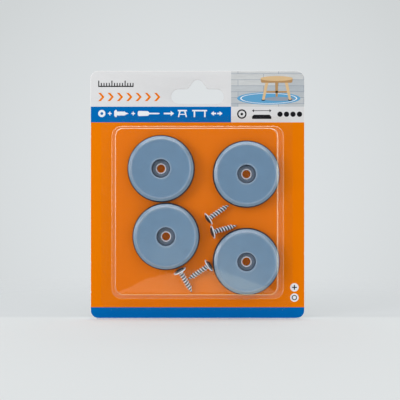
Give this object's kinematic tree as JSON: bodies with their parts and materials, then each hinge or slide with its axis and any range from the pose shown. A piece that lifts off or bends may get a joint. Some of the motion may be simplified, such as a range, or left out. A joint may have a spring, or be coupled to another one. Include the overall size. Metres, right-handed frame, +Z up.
{
  "type": "furniture glide pack",
  "caption": "Hanging blister pack: round screw-on furniture glides with a slick pad, rubber base and steel eyelet, and their washer-head screws, on a printed card with a hang slot.",
  "frame": {"origin": "where a display peg bears: the crown of the hang slot, on the card's back face", "axes": "+X to the right as the pack is read, +Y from the viewer into the card, +Z up"},
  "size_m": [0.1218, 0.0097, 0.1407],
  "materials": {
    "card": "coated board, printed, satin",
    "blister": "clear, glossy",
    "slide_pad": "waxy, satin",
    "rubber_base": "matte",
    "eyelet": "bright rolled steel",
    "screw": "bright zinc plate"
  },
  "bodies": {
    "card": {"card": "card"},
    "blister": {"blister": "blister"},
    "glide_1": {"slide_pad_1": "slide_pad", "rubber_base_1": "rubber_base", "eyelet_1": "eyelet"},
    "glide_2": {"slide_pad_2": "slide_pad", "rubber_base_2": "rubber_base", "eyelet_2": "eyelet"},
    "glide_3": {"slide_pad_3": "slide_pad", "rubber_base_3": "rubber_base", "eyelet_3": "eyelet"},
    "glide_4": {"slide_pad_4": "slide_pad", "rubber_base_4": "rubber_base", "eyelet_4": "eyelet"},
    "screw_1": {"screw_1": "screw"},
    "screw_2": {"screw_2": "screw"},
    "screw_3": {"screw_3": "screw"},
    "screw_4": {"screw_4": "screw"}
  },
  "joints": [
    {"name": "blister_lift", "type": "slide", "parent": "card", "child": "blister", "axis": [0, -1, 0], "range_m": [0, 0.04]},
    {"name": "glide_1_spin", "type": "hinge", "parent": "card", "child": "glide_1", "pos_m": [-0.0206, -0.0025, -0.0507], "axis": [0, 1, 0], "continuous": true},
    {"name": "glide_2_spin", "type": "hinge", "parent": "card", "child": "glide_2", "pos_m": [0.0276, -0.0025, -0.0538], "axis": [0, 1, 0], "continuous": true},
    {"name": "glide_3_spin", "type": "hinge", "parent": "card", "child": "glide_3", "pos_m": [-0.01779, -0.0025, -0.089], "axis": [0, 1, 0], "continuous": true},
    {"name": "glide_4_spin", "type": "hinge", "parent": "card", "child": "glide_4", "pos_m": [0.0276, -0.0025, -0.1032], "axis": [0, 1, 0], "continuous": true},
    {"name": "screw_1_spin", "type": "hinge", "parent": "card", "child": "screw_1", "pos_m": [0.00637, -0.00448, -0.0789], "axis": [0.8155, 0.1865, 0.548], "continuous": true},
    {"name": "screw_2_spin", "type": "hinge", "parent": "card", "child": "screw_2", "pos_m": [0.00887, -0.00448, -0.08643], "axis": [0.949, 0.1865, 0.2543], "continuous": true},
    {"name": "screw_3_spin", "type": "hinge", "parent": "card", "child": "screw_3", "pos_m": [0.00616, -0.00448, -0.10545], "axis": [-0.8116, 0.1865, -0.5536], "continuous": true},
    {"name": "screw_4_spin", "type": "hinge", "parent": "card", "child": "screw_4", "pos_m": [-0.00982, -0.00448, -0.10872], "axis": [0.4763, 0.1865, -0.8593], "continuous": true}
  ]
}
